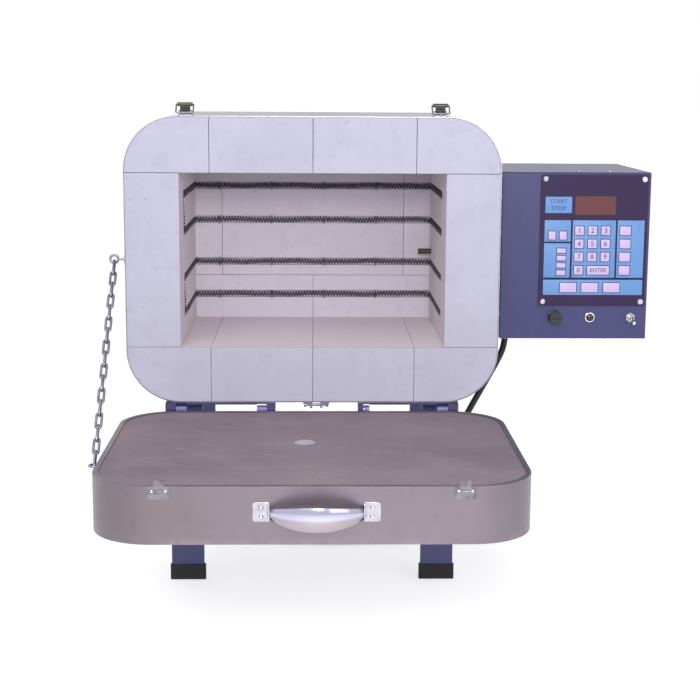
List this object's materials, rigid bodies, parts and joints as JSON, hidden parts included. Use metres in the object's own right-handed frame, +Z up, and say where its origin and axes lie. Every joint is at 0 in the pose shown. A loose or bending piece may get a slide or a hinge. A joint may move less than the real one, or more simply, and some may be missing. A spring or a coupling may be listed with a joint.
{
  "type": "front-loading electric kiln",
  "caption": "Small front-loading electric kiln: brick chamber in a round-cornered steel jacket, drop door on a chain, side control box, strap legs.",
  "frame": {"origin": "on the floor, under the middle of the outline of the kiln with its door open", "axes": "+Z up from the floor, +Y from the door to the back of the kiln, +X towards the control box"},
  "size_m": [0.6153, 0.6514, 0.5543],
  "materials": {
    "refractory": "matt",
    "lining": "matt, washed",
    "stainless": "brushed",
    "blue_paint": "satin",
    "leg_paint": "satin",
    "bright_steel": "bright",
    "nickel": "nickel-plated",
    "zinc": "zinc-plated",
    "element_wire": "oxidised",
    "porcelain": "glazed",
    "probe": "scaled",
    "black_rubber": "matt",
    "black_plastic": "glossy",
    "plate": "satin print",
    "keys": "membrane",
    "window": "glossy",
    "lamp": "glossy",
    "board": "matt",
    "transformer": "laminated",
    "phenolic": "matt"
  },
  "bodies": {
    "kiln_body": {"floor_bricks": "refractory", "roof_bricks": "refractory", "side_bricks": "refractory", "rear_bricks": "refractory", "body_jacket": "stainless", "back_panel": "stainless", "back_panel_screws": "zinc", "body_hinge_leaves": "zinc", "hinge_pins": "bright_steel", "jacket_clamps": "zinc", "leg_frames": "leg_paint", "leg_boots": "black_rubber", "leg_bolts": "zinc", "latch_bases": "nickel", "body_chain_eye": "zinc", "heating_element_lower": "element_wire", "heating_element_upper": "element_wire", "element_pins": "element_wire", "element_tails": "element_wire", "tail_bushings": "porcelain", "thermocouple": "probe", "box_spacers": "zinc", "control_box_case": "blue_paint", "control_box_front": "blue_paint", "control_box_screws": "zinc", "controller_plate": "plate", "controller_screws": "bright_steel", "keypad": "keys", "display_window": "window", "circuit_board": "board", "fuse_holder": "black_plastic", "pilot_lamp": "lamp", "switch_body": "nickel", "transformer": "transformer", "power_relay": "black_plastic", "terminal_block": "phenolic", "cord_gland": "black_plastic", "mains_cord": "black_rubber", "cord_coil": "black_rubber", "mains_plug": "black_rubber"},
    "door": {"door_band": "stainless", "door_skin": "stainless", "door_lining": "lining", "door_hinge_leaves": "zinc", "door_handle": "bright_steel", "handle_brackets": "nickel", "keepers": "nickel", "door_chain_eye": "zinc"},
    "peephole_plug": {"peephole_plug": "refractory"},
    "latch_lever_left": {"latch_lever_left": "nickel"},
    "latch_lever_right": {"latch_lever_right": "nickel"},
    "latch_loop_left": {"latch_loop_left": "nickel"},
    "latch_loop_right": {"latch_loop_right": "nickel"},
    "fuse_cap": {"fuse_cap": "black_plastic"},
    "switch_lever": {"switch_lever": "bright_steel"},
    "chain_upper": {"chain_upper": "zinc"},
    "chain_bend_upper": {"chain_bend_upper": "zinc"},
    "chain_middle": {"chain_middle": "zinc"},
    "chain_lower": {"chain_lower": "zinc"},
    "chain_bend_lower": {"chain_bend_lower": "zinc"}
  },
  "joints": [
    {"name": "door_hinge", "type": "hinge", "parent": "kiln_body", "child": "door", "pos_m": [-0.07875, 0.03415, 0.212], "axis": [-1, 0, 0], "range_deg": [0, 90], "deforming": ["chain_upper", "chain_bend_upper", "chain_middle", "chain_bend_lower", "chain_lower"]},
    {"name": "chain_top_swing", "type": "hinge", "parent": "kiln_body", "child": "chain_upper", "pos_m": [-0.30175, 0.05415, 0.3755], "axis": [1, 0, 0], "range_deg": [0, 43.82]},
    {"name": "chain_upper_bend", "type": "hinge", "parent": "chain_upper", "child": "chain_bend_upper", "pos_m": [-0.30175, -0.02008, 0.30047], "axis": [-1, 0, 0], "range_deg": [0, 44.13]},
    {"name": "chain_middle_bend", "type": "hinge", "parent": "chain_bend_upper", "child": "chain_middle", "pos_m": [-0.30175, -0.03331, 0.2871], "axis": [-1, 0, 0], "range_deg": [0, 45]},
    {"name": "chain_foot_swing", "type": "hinge", "parent": "door", "child": "chain_lower", "pos_m": [-0.30175, -0.12935, 0.19], "axis": [-1, 0, 0], "range_deg": [0, 44.44]},
    {"name": "chain_lower_bend", "type": "hinge", "parent": "chain_lower", "child": "chain_bend_lower", "pos_m": [-0.30175, -0.05513, 0.26504], "axis": [1, 0, 0], "range_deg": [0, 44.13]},
    {"name": "peephole_draw", "type": "slide", "parent": "door", "child": "peephole_plug", "axis": [0, 0, -1], "range_m": [0, 0.09]},
    {"name": "latch_left_turn", "type": "hinge", "parent": "kiln_body", "child": "latch_lever_left", "pos_m": [-0.21925, 0.04765, 0.544], "axis": [-1, 0, 0], "range_deg": [0, 95]},
    {"name": "loop_left_lift", "type": "hinge", "parent": "latch_lever_left", "child": "latch_loop_left", "pos_m": [-0.21925, 0.04545, 0.55221], "axis": [-1, 0, 0], "range_deg": [0, 60]},
    {"name": "latch_right_turn", "type": "hinge", "parent": "kiln_body", "child": "latch_lever_right", "pos_m": [0.06175, 0.04765, 0.544], "axis": [-1, 0, 0], "range_deg": [0, 95]},
    {"name": "loop_right_lift", "type": "hinge", "parent": "latch_lever_right", "child": "latch_loop_right", "pos_m": [0.06175, 0.04545, 0.55221], "axis": [-1, 0, 0], "range_deg": [0, 60]},
    {"name": "fuse_cap_turn", "type": "hinge", "parent": "kiln_body", "child": "fuse_cap", "pos_m": [0.20125, 0.07415, 0.3105], "axis": [0, -1, 0], "range_deg": [0, 90]},
    {"name": "switch_throw", "type": "hinge", "parent": "kiln_body", "child": "switch_lever", "pos_m": [0.28925, 0.07765, 0.3105], "axis": [-1, 0, 0], "range_deg": [0, 24]}
  ],
  "couplings": [
    {"joint": "chain_top_swing", "follows": "door_hinge", "ratio": 0.48689},
    {"joint": "chain_upper_bend", "follows": "door_hinge", "ratio": 0.49033},
    {"joint": "chain_middle_bend", "follows": "door_hinge", "ratio": 0.5},
    {"joint": "chain_foot_swing", "follows": "door_hinge", "ratio": 0.49378},
    {"joint": "chain_lower_bend", "follows": "door_hinge", "ratio": 0.49033}
  ]
}
